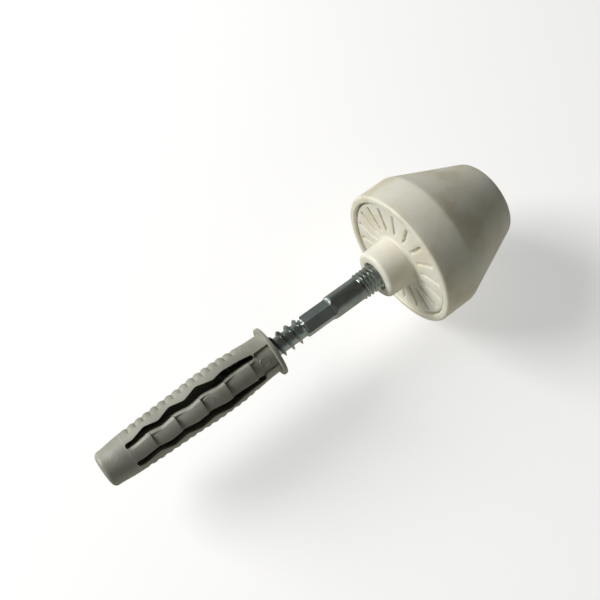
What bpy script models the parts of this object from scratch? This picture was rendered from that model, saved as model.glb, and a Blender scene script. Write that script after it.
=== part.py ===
"""Wall anchor: a nylon expansion plug, a hanger bolt, and a conical cap with its bearing disc and nut.

The anchor's axis is the world X axis. The origin is on that axis, in the plane of the wall's face,
which is the outer face of the plug's collar. +X points out of the wall. Angles round the axis are
counted from +Z towards -Y. Sizes below are in millimetres and become metres in the meshes.
"""

from math import atan2, cos, hypot, pi, radians, sin, tan

import bmesh
import bpy
from mathutils import Matrix, Vector

MM = 0.001
CLEARANCE = 0.3

# The plug. Its nose is at -X and its collar sits against the wall.
PLUG_TIP_X = -53.3
NOSE_RADIUS = 5.0
NOSE_ROUND = 1.3
COLLAR_THICKNESS = 1.25
COLLAR_RADIUS = 7.4
COLLAR_CHAMFER = 0.25
TOOTHED_LEG_ANGLE = 30.0
TOOTHED_LEG_HALF_WIDTH = 33.0
TOOTH_PITCH = 7.62
TOOTH_COUNT = 5
LAST_TOOTH_X = -8.2
TOOTH_LOW_RADIUS = 5.55
TOOTH_HIGH_RADIUS = 6.4
PANEL_RADIUS = 5.3
RIBS_PER_TOOTH = 3
RIB_DEPTH = 0.35
RIB_HALF_WIDTH = 28.0
STEP_LENGTH = 0.12
LEG_WALL_ANGLE = 1.5
SLOT_START_X = -45.4
SLOT_END_X = -6.2
SLOT_OFFSET = 3.25
SLOT_WIDTH = 1.9
SLOT_WAVE = 0.42
SLOT_STEEP_SHARE = 0.45
SLOT_LEAD = 0.5
PLUG_SECTORS = 48
BORE_RADIUS = 3.75
BORE_END_X = -31.0
LEG_BORE_RADIUS = 3.0
NOSE_BORE_RADIUS = 2.2
BORE_TAPER = 2.0

# Outer radius of the ribbed legs and the nose: (x, radius).
LEG_OUTLINE = (
    (-51.4, 5.05), (-47.5, 5.55), (-40.0, 6.05), (-28.0, 6.45), (-22.0, 6.85),
    (-14.0, 6.85), (-9.0, 6.4), (-5.0, 6.0), (-1.4, 5.9),
)

# The hanger bolt: a wood thread, a hexagon for the wrench, a round shank and an M8 thread.
BOLT_TIP_X = -20.0
WOOD_THREAD_END_X = 10.8
WOOD_PITCH = 2.8
WOOD_ROOT_RADIUS = 2.5
WOOD_CREST_RADIUS = 3.5
BOLT_TIP_LENGTH = 4.5
BOLT_TIP_RADIUS = 0.5
HEX_START_X = 10.6
HEX_END_X = 21.0
HEX_CORNER_RADIUS = 3.23
HEX_TURN = 2.2
SHANK_RADIUS = 3.515
SHANK_END_X = 30.6
MACHINE_START_X = 30.2
BOLT_END_X = 60.0
MACHINE_PITCH = 1.25
MACHINE_ROOT_RADIUS = 3.2
MACHINE_CREST_RADIUS = 3.93
BOLT_SECTORS = 20

# The bearing disc and its boss.
BOSS_FACE_X = 36.2
BOSS_RADIUS = 7.35
BOSS_BASE_RADIUS = 7.55
DISC_FACE_X = 45.0
DISC_THICKNESS = 1.8
DISC_RADIUS = 18.6
DISC_BORE_RADIUS = 4.45
DISC_SECTORS = 48
GROOVE_COUNT = 18
GROOVE_INNER_RADIUS = 9.6
GROOVE_OUTER_RADIUS = 17.1
GROOVE_WIDTH = 0.9
GROOVE_DEPTH = 0.6
EDGE_ROUND = 0.4
SKIRT_THICKNESS = 1.5
SKIRT_LENGTH = 5.0

# The conical cap, its core tube and the nut held in it.
RIM_X = 44.3
RIM_RADIUS = 21.28
MOUTH_RADIUS = 19.1
MOUTH_ROUND = 0.5
RIM_ROUND = 1.6
KINK_X = 54.88
END_X = 77.4
END_RADIUS = 12.05
END_ROUND = 1.8
WALL = 2.4
CAP_SECTORS = 48
CORE_RADIUS = 9.0
CORE_BORE_RADIUS = 4.6
NUT_HEIGHT = 6.5
NUT_ACROSS_FLATS = 13.0
NUT_BORE_RADIUS = 4.15
NUT_BORE_SECTORS = 32
HEX_SIDES = 6

DISC_BACK_X = DISC_FACE_X + DISC_THICKNESS
CORE_FACE_X = DISC_BACK_X + CLEARANCE


def clear_scene():
    for obj in list(bpy.data.objects):
        bpy.data.objects.remove(obj, do_unlink=True)


def new_collection(name):
    collection = bpy.data.collections.new(name)
    bpy.context.scene.collection.children.link(collection)
    return collection


def plain_material(name, colour, roughness, metallic=0.0):
    material = bpy.data.materials.new(name)
    material.use_nodes = True
    shader = material.node_tree.nodes["Principled BSDF"]
    shader.inputs["Base Color"].default_value = (*colour, 1.0)
    shader.inputs["Roughness"].default_value = roughness
    shader.inputs["Metallic"].default_value = metallic
    return material


def place(x, radius, angle):
    """The point, in metres, at a distance along the axis, a radius and an angle in degrees."""
    turn = radians(angle)
    return Vector((x, -radius * sin(turn), radius * cos(turn))) * MM


def interpolate(points, x):
    """The height at x of the broken line through the points."""
    if x <= points[0][0]:
        return points[0][1]
    for (x0, y0), (x1, y1) in zip(points, points[1:]):
        if x <= x1:
            return y0 + (y1 - y0) * (x - x0) / (x1 - x0)
    return points[-1][1]


def object_from_bmesh(name, bm, collection, material=None):
    mesh = bpy.data.meshes.new(name)
    bm.to_mesh(mesh)
    bm.free()
    obj = bpy.data.objects.new(name, mesh)
    collection.objects.link(obj)
    if material:
        mesh.materials.append(material)
        mesh.shade_smooth()
        mesh.set_sharp_from_angle(angle=radians(30))
    return obj


def close_and_orient(bm):
    """Merges the seam of a rolled sheet, closes its two ends and turns every face outwards."""
    bmesh.ops.remove_doubles(bm, verts=bm.verts, dist=1e-7)
    open_edges = [edge for edge in bm.edges if len(edge.link_faces) == 1]
    bmesh.ops.holes_fill(bm, edges=open_edges)
    bmesh.ops.recalc_face_normals(bm, faces=bm.faces)


def rolled_sheet(rows, sectors, point_of):
    """A grid of rows by sectors, rolled into a closed bar. point_of places the vertex of a row and sector."""
    bm = bmesh.new()
    bmesh.ops.create_grid(bm, x_segments=rows - 1, y_segments=sectors, size=1.0)
    for vert in bm.verts:
        row = round((vert.co.x + 1.0) / 2.0 * (rows - 1))
        sector = round((vert.co.y + 1.0) / 2.0 * sectors)
        vert.co = point_of(row, sector)
    close_and_orient(bm)
    return bm


def turned(name, outline, sectors, collection, material=None):
    """A ring turned from a closed outline of (x, radius) points."""
    bm = bmesh.new()
    verts = [bm.verts.new(Vector((x, 0.0, radius)) * MM) for x, radius in outline]
    for start, end in zip(verts, verts[1:] + verts[:1]):
        bm.edges.new((start, end))
    bmesh.ops.spin(
        bm, geom=bm.verts[:] + bm.edges[:], cent=(0.0, 0.0, 0.0), axis=(1.0, 0.0, 0.0),
        angle=2.0 * pi, steps=sectors, use_merge=True,
    )
    bmesh.ops.remove_doubles(bm, verts=bm.verts, dist=1e-7)
    on_axis = [edge for edge in bm.edges if not edge.link_faces]
    bmesh.ops.delete(bm, geom=on_axis, context="EDGES")
    bmesh.ops.recalc_face_normals(bm, faces=bm.faces)
    return object_from_bmesh(name, bm, collection, material)


def bar(name, x_start, x_end, radius, sectors, turn, collection, material=None):
    """A round or polygonal bar along the axis, with its first corner at the angle turn."""
    bm = bmesh.new()
    bmesh.ops.create_cone(
        bm, cap_ends=True, segments=sectors, radius1=radius * MM, radius2=radius * MM,
        depth=(x_end - x_start) * MM,
    )
    to_axis = Matrix.Rotation(radians(90), 4, "Y")
    about_axis = Matrix.Rotation(radians(turn), 4, "X")
    shift = Matrix.Translation(((x_start + x_end) / 2 * MM, 0.0, 0.0))
    bm.transform(shift @ about_axis @ to_axis)
    return object_from_bmesh(name, bm, collection, material)


def apply_boolean(obj, operation, other):
    modifier = obj.modifiers.new(f"{operation.lower()}_{other.name}", "BOOLEAN")
    modifier.operation = operation
    modifier.solver = "EXACT"
    modifier.object = other


def hide_as_cutter(obj):
    obj.hide_render = True
    obj.display_type = "WIRE"


def fillet(corner, before, after, radius, steps):
    """Points that round a corner of an outline with an arc of the given radius."""
    corner, before, after = Vector(corner), Vector(before), Vector(after)
    into, out = (before - corner).normalized(), (after - corner).normalized()
    half = into.angle(out) / 2
    start, end = corner + into * radius / tan(half), corner + out * radius / tan(half)
    centre = corner + (into + out).normalized() * radius / sin(half)
    first = atan2(start.y - centre.y, start.x - centre.x)
    sweep = atan2(end.y - centre.y, end.x - centre.x) - first
    sweep = (sweep + pi) % (2 * pi) - pi
    angles = [first + sweep * step / steps for step in range(steps + 1)]
    return [(centre.x + radius * cos(a), centre.y + radius * sin(a)) for a in angles]


# ---------------------------------------------------------------- expansion plug


def tooth_steps():
    """Where the toothed legs drop, from the nose towards the collar."""
    first = LAST_TOOTH_X - TOOTH_PITCH * (TOOTH_COUNT - 1)
    return [first + TOOTH_PITCH * index for index in range(TOOTH_COUNT)]


def rib_steps():
    """Where the ribbed legs drop: every tooth step, and evenly between them."""
    pitch = TOOTH_PITCH / RIBS_PER_TOOTH
    count = TOOTH_COUNT * RIBS_PER_TOOTH
    return [LAST_TOOTH_X - pitch * index for index in reversed(range(count))]


def sawtooth(x, steps, pitch):
    """0 just after a step, rising to 1 at the next one."""
    for step in steps:
        if x <= step + 1e-6:
            return max(0.0, 1.0 - (step - x) / pitch)
    return 0.0


def angle_from(angle, centre):
    return abs((angle - centre + 180.0) % 360.0 - 180.0)


def plug_angle(sector):
    """The angle of a line along the skin. The lines next to the toothed legs stand close to their edges."""
    pitch = 360.0 / PLUG_SECTORS
    angle = sector * pitch
    beside = TOOTHED_LEG_HALF_WIDTH + pitch
    for edge in (beside, 180.0 - beside, 180.0 + beside, 360.0 - beside):
        if abs(angle - edge) < pitch / 2:
            angle += (pitch - LEG_WALL_ANGLE) * (-1.0 if edge in (beside, 180.0 + beside) else 1.0)
    return TOOTHED_LEG_ANGLE + angle


def plug_radius(x, angle):
    outline = interpolate(LEG_OUTLINE, x)
    from_leg = min(
        angle_from(angle, TOOTHED_LEG_ANGLE), angle_from(angle, TOOTHED_LEG_ANGLE + 180.0)
    )
    if from_leg <= TOOTHED_LEG_HALF_WIDTH + LEG_WALL_ANGLE / 2:
        if x > LAST_TOOTH_X + 1e-6:
            return PANEL_RADIUS
        share = sawtooth(x, tooth_steps(), TOOTH_PITCH)
        tooth = TOOTH_LOW_RADIUS + (TOOTH_HIGH_RADIUS - TOOTH_LOW_RADIUS) * share
        return min(tooth, outline) if x < tooth_steps()[0] else tooth
    if abs(from_leg - 90.0) <= RIB_HALF_WIDTH and rib_steps()[0] - TOOTH_PITCH < x < LAST_TOOTH_X + 1:
        return outline - RIB_DEPTH * (1.0 - sawtooth(x, rib_steps(), TOOTH_PITCH / RIBS_PER_TOOTH))
    return outline


def plug_stations():
    """The rings of the plug's skin as (x, radius), with radius None where the legs set it."""
    corner = (PLUG_TIP_X, NOSE_RADIUS)
    rings = fillet(corner, (PLUG_TIP_X, 0.0), LEG_OUTLINE[0], NOSE_ROUND, 3)
    rings += [(x, None) for x, _ in LEG_OUTLINE[1:2]]
    for step in rib_steps():
        rings += [(step, None), (step + STEP_LENGTH, None)]
    rings += [(x, None) for x, _ in LEG_OUTLINE[-2:-1]]
    under = -COLLAR_THICKNESS
    rings += [(under, None), (under, COLLAR_RADIUS - COLLAR_CHAMFER)]
    rings += [(under + COLLAR_CHAMFER, COLLAR_RADIUS)]
    rings += [(-COLLAR_CHAMFER, COLLAR_RADIUS), (0.0, COLLAR_RADIUS - COLLAR_CHAMFER)]
    return rings


def slot_offset(x):
    """Sideways wave of a slot: it climbs quickly a little before each tooth step and falls slowly."""
    phase = ((x + SLOT_LEAD - LAST_TOOTH_X) / TOOTH_PITCH) % 1.0
    rise_from = 1.0 - SLOT_STEEP_SHARE
    if phase < rise_from:
        return SLOT_WAVE * (1.0 - 2.0 * phase / rise_from)
    return SLOT_WAVE * (2.0 * (phase - rise_from) / SLOT_STEEP_SHARE - 1.0)


def add_slot(bm, offset):
    """Adds a wavy slab that runs right through the plug, beside the axis. Its walls stand square to the
    toothed legs, the way the moulding core pulls out."""
    turns = [SLOT_START_X, SLOT_END_X]
    for step in tooth_steps():
        crest = step - SLOT_LEAD
        turns += [crest, crest - SLOT_STEEP_SHARE * TOOTH_PITCH]
    turns = sorted(x for x in turns if SLOT_START_X <= x <= SLOT_END_X)
    reach = 2 * COLLAR_RADIUS
    floor = bmesh.ops.create_grid(bm, x_segments=len(turns) - 1, y_segments=1, size=1.0)["verts"]
    for vert in floor:
        x = turns[round((vert.co.x + 1.0) / 2.0 * (len(turns) - 1))]
        side = offset + slot_offset(x) + vert.co.y * SLOT_WIDTH / 2
        vert.co = Vector((x, side, -reach)) * MM
    faces = {face for vert in floor for face in vert.link_faces}
    top = bmesh.ops.extrude_face_region(bm, geom=list(faces))
    lifted = [item for item in top["geom"] if isinstance(item, bmesh.types.BMVert)]
    bmesh.ops.translate(bm, verts=lifted, vec=(0.0, 0.0, 2 * reach * MM))
    turn = Matrix.Rotation(radians(TOOTHED_LEG_ANGLE), 4, "X")
    bmesh.ops.transform(bm, matrix=turn, verts=floor + lifted)


def slot_cutters(collection):
    """The two slots, as separate slabs in one cutter."""
    bm = bmesh.new()
    add_slot(bm, -SLOT_OFFSET)
    add_slot(bm, SLOT_OFFSET)
    bmesh.ops.recalc_face_normals(bm, faces=bm.faces)
    cutter = object_from_bmesh("slot_cutters", bm, collection)
    hide_as_cutter(cutter)
    return cutter


def build_plug(parts, cutters, material):
    rings = plug_stations()

    def point_of(row, sector):
        x, radius = rings[row]
        angle = plug_angle(sector)
        return place(x, plug_radius(x, angle) if radius is None else radius, angle)

    plug = object_from_bmesh(
        "expansion_plug", rolled_sheet(len(rings), PLUG_SECTORS, point_of), parts, material
    )
    bore = turned(
        "plug_bore_cutter",
        [(PLUG_TIP_X - 1, 0.0), (1.0, 0.0), (1.0, BORE_RADIUS), (BORE_END_X, BORE_RADIUS),
         (BORE_END_X - BORE_TAPER, LEG_BORE_RADIUS), (SLOT_START_X + BORE_TAPER, LEG_BORE_RADIUS),
         (SLOT_START_X, NOSE_BORE_RADIUS), (PLUG_TIP_X - 1, NOSE_BORE_RADIUS)],
        PLUG_SECTORS // 2, cutters,
    )
    hide_as_cutter(bore)
    apply_boolean(plug, "DIFFERENCE", bore)
    apply_boolean(plug, "DIFFERENCE", slot_cutters(cutters))


# ---------------------------------------------------------------- hanger bolt


def threaded_bar(name, x_start, x_end, pitch, profile, envelope, collection, material=None):
    """A bar whose rings follow a helix. profile is the ridge over one pitch as (share of pitch, share
    of depth); envelope gives the root and crest radius at x."""
    per_turn = len(profile)
    turns = int((x_end - x_start) / pitch) + 3
    rows = turns * per_turn + 1

    def point_of(row, sector):
        share, height = profile[row % per_turn]
        turn = sector / BOLT_SECTORS
        along = x_start + (row // per_turn - 1.5 + share + turn) * pitch
        x = min(max(along, x_start), x_end)
        root, crest = envelope(x)
        return place(x, root + (crest - root) * height, 360.0 * turn)

    return object_from_bmesh(name, rolled_sheet(rows, BOLT_SECTORS, point_of), collection, material)


def wood_envelope(x):
    """The screw's point, its full thread, and the thread's run-out into the root."""
    grown = min(1.0, (x - BOLT_TIP_X) / BOLT_TIP_LENGTH)
    root = BOLT_TIP_RADIUS + (WOOD_ROOT_RADIUS - BOLT_TIP_RADIUS) * grown
    fade = min(1.0, max(0.0, (WOOD_THREAD_END_X - x) / WOOD_PITCH * 2))
    depth = (WOOD_CREST_RADIUS - WOOD_ROOT_RADIUS) * min(grown, fade)
    return root, root + depth


def machine_envelope(x):
    """A short run-in behind the thread and a chamfer at the bolt's end."""
    depth = MACHINE_CREST_RADIUS - MACHINE_ROOT_RADIUS
    fade = min(1.0, (x - MACHINE_START_X) / MACHINE_PITCH, (BOLT_END_X - x) / MACHINE_PITCH)
    return MACHINE_ROOT_RADIUS, MACHINE_ROOT_RADIUS + depth * max(0.0, fade)


def build_bolt(parts, cutters, material):
    wood_profile = ((0.0, 0.0), (0.16, 1.0), (0.26, 1.0), (0.42, 0.0))
    machine_profile = ((0.0, 0.0), (0.38, 1.0), (0.5, 1.0), (0.88, 0.0))
    bolt = threaded_bar(
        "hanger_bolt", BOLT_TIP_X, WOOD_THREAD_END_X, WOOD_PITCH, wood_profile, wood_envelope,
        parts, material,
    )
    joined = [
        bar("bolt_hexagon", HEX_START_X, HEX_END_X, HEX_CORNER_RADIUS, HEX_SIDES, HEX_TURN, cutters),
        bar("bolt_shank", HEX_END_X - CLEARANCE, SHANK_END_X, SHANK_RADIUS, BOLT_SECTORS, 0.0, cutters),
        threaded_bar(
            "bolt_machine_thread", MACHINE_START_X, BOLT_END_X, MACHINE_PITCH, machine_profile,
            machine_envelope, cutters,
        ),
    ]
    for piece in joined:
        hide_as_cutter(piece)
        apply_boolean(bolt, "UNION", piece)


# ---------------------------------------------------------------- bearing disc


def groove_cutters(collection):
    """All the radial grooves of the disc's face, as separate boxes in one cutter."""
    bm = bmesh.new()
    length = GROOVE_OUTER_RADIUS - GROOVE_INNER_RADIUS
    middle = (GROOVE_OUTER_RADIUS + GROOVE_INNER_RADIUS) / 2
    for index in range(GROOVE_COUNT):
        box = bmesh.ops.create_cube(bm, size=1.0)["verts"]
        size = Matrix.Diagonal((2 * GROOVE_DEPTH * MM, GROOVE_WIDTH * MM, length * MM, 1.0))
        shift = Matrix.Translation(Vector((DISC_FACE_X, 0.0, middle)) * MM)
        turn = Matrix.Rotation(2 * pi * index / GROOVE_COUNT, 4, "X")
        bmesh.ops.transform(bm, matrix=turn @ shift @ size, verts=box)
    cutter = object_from_bmesh("groove_cutters", bm, collection)
    hide_as_cutter(cutter)
    return cutter


def build_disc(parts, cutters, material):
    skirt_inner = CORE_RADIUS + CLEARANCE
    skirt_outer = skirt_inner + SKIRT_THICKNESS
    skirt_end = DISC_BACK_X + SKIRT_LENGTH
    boss_corner = (BOSS_FACE_X, BOSS_RADIUS)
    base = (DISC_FACE_X, BOSS_BASE_RADIUS)
    outline = [(BOSS_FACE_X, DISC_BORE_RADIUS)]
    outline += fillet(boss_corner, outline[0], base, 2 * EDGE_ROUND, 3)
    outline += [base]
    outline += fillet((DISC_FACE_X, DISC_RADIUS), base, (DISC_BACK_X, DISC_RADIUS), EDGE_ROUND, 2)
    outline += [(DISC_BACK_X, DISC_RADIUS), (DISC_BACK_X, skirt_outer), (skirt_end, skirt_outer)]
    outline += [(skirt_end, skirt_inner), (DISC_BACK_X, skirt_inner), (DISC_BACK_X, DISC_BORE_RADIUS)]
    disc = turned("insert_disc", outline, DISC_SECTORS, parts, material)
    apply_boolean(disc, "DIFFERENCE", groove_cutters(cutters))


# ---------------------------------------------------------------- cap and nut


def build_cap(parts, cutters, material):
    slope = hypot(END_X - KINK_X, RIM_RADIUS - END_RADIUS) / (END_X - KINK_X)
    inner_end = END_X - WALL
    inner_end_radius = END_RADIUS + (RIM_RADIUS - END_RADIUS) * WALL / (END_X - KINK_X) - WALL * slope
    nut_seat = CORE_FACE_X + NUT_HEIGHT + CLEARANCE
    outer_edge, inner_edge = (RIM_X, RIM_RADIUS), (RIM_X, MOUTH_RADIUS)
    kink, end_edge = (KINK_X, RIM_RADIUS), (END_X, END_RADIUS)
    outline = fillet(inner_edge, (KINK_X, MOUTH_RADIUS), outer_edge, MOUTH_ROUND, 2)
    outline += fillet(outer_edge, inner_edge, kink, RIM_ROUND, 4)
    outline += [kink]
    outline += fillet(end_edge, kink, (END_X, 0.0), END_ROUND, 4)
    outline += [(END_X, 0.0), (inner_end, 0.0), (inner_end, CORE_BORE_RADIUS)]
    outline += [(nut_seat, CORE_BORE_RADIUS), (CORE_FACE_X, CORE_BORE_RADIUS)]
    outline += [(CORE_FACE_X, CORE_RADIUS), (inner_end, CORE_RADIUS), (inner_end, inner_end_radius)]
    outline += [(KINK_X - WALL / 4, MOUTH_RADIUS)]
    cap = turned("cone_cap", outline, CAP_SECTORS, parts, material)
    pocket_radius = (NUT_ACROSS_FLATS / 2 + CLEARANCE) / cos(pi / HEX_SIDES)
    pocket = bar("nut_pocket_cutter", CORE_FACE_X - 1, nut_seat, pocket_radius, HEX_SIDES, 0.0, cutters)
    hide_as_cutter(pocket)
    apply_boolean(cap, "DIFFERENCE", pocket)


def build_nut(parts, cutters, material):
    corner_radius = NUT_ACROSS_FLATS / 2 / cos(pi / HEX_SIDES)
    end = CORE_FACE_X + NUT_HEIGHT
    nut = bar("captive_nut", CORE_FACE_X, end, corner_radius, HEX_SIDES, 0.0, parts, material)
    bore = bar(
        "nut_bore_cutter", CORE_FACE_X - 1, end + 1, NUT_BORE_RADIUS, NUT_BORE_SECTORS, 0.0, cutters
    )
    hide_as_cutter(bore)
    apply_boolean(nut, "DIFFERENCE", bore)


def build():
    clear_scene()
    parts = new_collection("wall_anchor")
    cutters = new_collection("wall_anchor_cutters")
    nylon = plain_material("grey_nylon", (0.47, 0.47, 0.43), 0.5)
    steel = plain_material("zinc_plated_steel", (0.55, 0.57, 0.58), 0.3, 1.0)
    ivory = plain_material("ivory_plastic", (0.83, 0.81, 0.74), 0.45)
    white = plain_material("white_plastic", (0.84, 0.83, 0.77), 0.45)
    build_plug(parts, cutters, nylon)
    build_bolt(parts, cutters, steel)
    build_disc(parts, cutters, white)
    build_cap(parts, cutters, ivory)
    build_nut(parts, cutters, steel)


build()
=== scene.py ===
"""The looks of the wall anchor: nylon plug, hanger bolt, bearing disc, conical cap and its nut.

The anchor's axis is the world X axis. Angles round it are counted from +Z towards -Y, in degrees.
Sizes below are in millimetres and become metres in the meshes.
"""

from math import asin, atan2, cos, degrees, hypot, pi, radians, sin, sqrt, tan

import bmesh
import bpy
from mathutils import Matrix, Vector


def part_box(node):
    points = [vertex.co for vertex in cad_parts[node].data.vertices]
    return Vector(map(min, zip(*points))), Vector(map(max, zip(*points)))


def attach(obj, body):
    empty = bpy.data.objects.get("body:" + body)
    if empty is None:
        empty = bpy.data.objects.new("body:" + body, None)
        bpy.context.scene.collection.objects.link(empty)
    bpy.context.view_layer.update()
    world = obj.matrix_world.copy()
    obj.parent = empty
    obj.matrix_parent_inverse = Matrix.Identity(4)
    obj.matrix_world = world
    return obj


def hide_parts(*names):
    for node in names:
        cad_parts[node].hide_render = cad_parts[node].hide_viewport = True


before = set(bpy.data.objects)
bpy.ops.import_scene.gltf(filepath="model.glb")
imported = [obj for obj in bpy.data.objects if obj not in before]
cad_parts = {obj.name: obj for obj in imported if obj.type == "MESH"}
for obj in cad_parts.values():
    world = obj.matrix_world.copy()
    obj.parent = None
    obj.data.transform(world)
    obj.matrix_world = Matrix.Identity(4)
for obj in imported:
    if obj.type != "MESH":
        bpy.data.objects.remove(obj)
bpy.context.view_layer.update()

MM = 0.001
MERGE_DISTANCE = 1e-7
SLIVER_LENGTH = 1e-8


def node_span(node):
    """The lowest and highest x of a CAD node, and its outer radius, in millimetres."""
    low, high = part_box(node)
    return low.x / MM, high.x / MM, high.y / MM


PLUG_TIP_X, PLUG_FACE_X, COLLAR_RADIUS = node_span("expansion_plug")
BOLT_TIP_X, BOLT_END_X, CREST_RADIUS = node_span("hanger_bolt")
BOSS_FACE_X, SKIRT_END_X, DISC_RADIUS = node_span("insert_disc")
RIM_X, END_X, RIM_RADIUS = node_span("cone_cap")
NUT_START_X, NUT_END_X, _ = node_span("captive_nut")

# ---------------------------------------------------------------- mesh helpers


def place(x, radius, angle):
    """The point, in metres, at a distance along the axis, a radius and an angle in degrees."""
    turn = radians(angle)
    return Vector((x, -radius * sin(turn), radius * cos(turn))) * MM


def interpolate(points, x):
    """The height at x of the broken line through the points."""
    if x <= points[0][0]:
        return points[0][1]
    for (x0, y0), (x1, y1) in zip(points, points[1:]):
        if x <= x1:
            return y0 + (y1 - y0) * (x - x0) / (x1 - x0)
    return points[-1][1]


def smooth(t):
    """0 up to t = 0, 1 from t = 1, and an eased rise between them."""
    t = min(1.0, max(0.0, t))
    return t * t * (3.0 - 2.0 * t)


def spaced(start, end, step):
    """Stations from start to end, no further apart than step."""
    count = max(1, round(abs(end - start) / step))
    return [start + (end - start) * index / count for index in range(count + 1)]


def fillet(corner, before, after, radius, steps):
    """Points that round a corner of an outline with an arc of the given radius."""
    corner, before, after = Vector(corner), Vector(before), Vector(after)
    into, out = (before - corner).normalized(), (after - corner).normalized()
    half = into.angle(out) / 2
    start, end = corner + into * radius / tan(half), corner + out * radius / tan(half)
    centre = corner + (into + out).normalized() * radius / sin(half)
    first = atan2(start.y - centre.y, start.x - centre.x)
    sweep = atan2(end.y - centre.y, end.x - centre.x) - first
    sweep = (sweep + pi) % (2 * pi) - pi
    angles = [first + sweep * step / steps for step in range(steps + 1)]
    return [(centre.x + radius * cos(a), centre.y + radius * sin(a)) for a in angles]


def rounded(outline, steps):
    """A closed outline of (x, radius, round) corners with each corner rounded."""
    points = []
    for index, (x, radius, corner_round) in enumerate(outline):
        before = outline[index - 1][:2]
        after = outline[(index + 1) % len(outline)][:2]
        if corner_round:
            points += fillet((x, radius), before, after, corner_round, steps)
        else:
            points.append((x, radius))
    return points


def sheet_faces(bm, grid, closed=True, keep=None):
    """Faces between neighbouring points of a grid of vertices."""
    columns = len(grid[0])
    for row in range(len(grid) - 1):
        for column in range(columns if closed else columns - 1):
            beside = (column + 1) % columns
            if keep is None or keep(row, column):
                here, beyond = grid[row], grid[row + 1]
                bm.faces.new((here[column], here[beside], beyond[beside], beyond[column]))


def vertex_grid(bm, rows, columns, point_of):
    """Rows of vertices, each at point_of(row, column)."""
    return [
        [bm.verts.new(point_of(row, column)) for column in range(columns)] for row in range(rows)
    ]


def tidy(bm, fill=False):
    """Merges coincident points, drops slivers, fills open ends if asked, turns faces outwards."""
    bmesh.ops.remove_doubles(bm, verts=bm.verts, dist=MERGE_DISTANCE)
    bmesh.ops.dissolve_degenerate(bm, edges=bm.edges, dist=SLIVER_LENGTH)
    if fill:
        open_edges = [edge for edge in bm.edges if len(edge.link_faces) == 1]
        bmesh.ops.holes_fill(bm, edges=open_edges)
    bmesh.ops.recalc_face_normals(bm, faces=bm.faces)


def finish_piece(name, bm, material, body, node, sharp=32):
    """Makes a piece of the visual model from a mesh, and hangs it on its CAD body. Edges turn sharp
    past an angle of sharp degrees."""
    mesh = bpy.data.meshes.new(name)
    bm.to_mesh(mesh)
    bm.free()
    mesh.materials.append(material)
    mesh.shade_smooth()
    mesh.set_sharp_from_angle(angle=radians(sharp))
    obj = bpy.data.objects.new(name, mesh)
    bpy.context.scene.collection.objects.link(obj)
    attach(obj, body)
    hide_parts(node)


def turned(outline, sectors):
    """A ring turned from a closed outline of (x, radius) points."""
    bm = bmesh.new()
    count = len(outline)

    def point_of(row, column):
        x, radius = outline[row % count]
        return place(x, radius, 360.0 * column / sectors)

    grid = vertex_grid(bm, count, sectors, point_of)
    sheet_faces(bm, grid + grid[:1])
    tidy(bm)
    return bm


# ---------------------------------------------------------------- materials


# Noise scales are per metre. A bump is (scale, strength, height in mm), or the last two of these.
NOISE_SPREAD = (0.3, 0.7)
WEAR_POINTINESS = (0.54, 0.7)
FULL_WEAR = 0.7
CLOUD_SCALE = 90.0
CLOUD_STOPS = (0.36, 0.5, 0.64)
SPECKLE_SCALE = 2600.0
SPECKLE_SHARE = 0.06
PATCH_SCALE = 240.0
PATCH_SPREAD = 0.07
UNEVEN_BUMP = (160.0, 0.35, 0.12)
GRAIN_BUMP = (0.25, 0.03)
PLASTIC_IOR = 1.5
SUBSURFACE_SHARE = 0.35
SUBSURFACE_RADIUS = (1.0, 0.8, 0.45)
SUBSURFACE_SCALE = 2.5
ZINC_CLOUD_SCALE = 180.0
ZINC_CLOUD_STOPS = (0.3, 0.5, 0.7)
ZINC_WORN = (0.86, 0.88, 0.88, 1.0)
ZINC_PATCH_SCALE = 900.0
ZINC_PATCH_SPREAD = (0.06, 0.1)
ZINC_DRAWN_SCALE = 1500.0
ZINC_DRAWN_STRETCH = (0.12, 1.0, 1.0)
ZINC_PIT_SCALE = 1300.0


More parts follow.
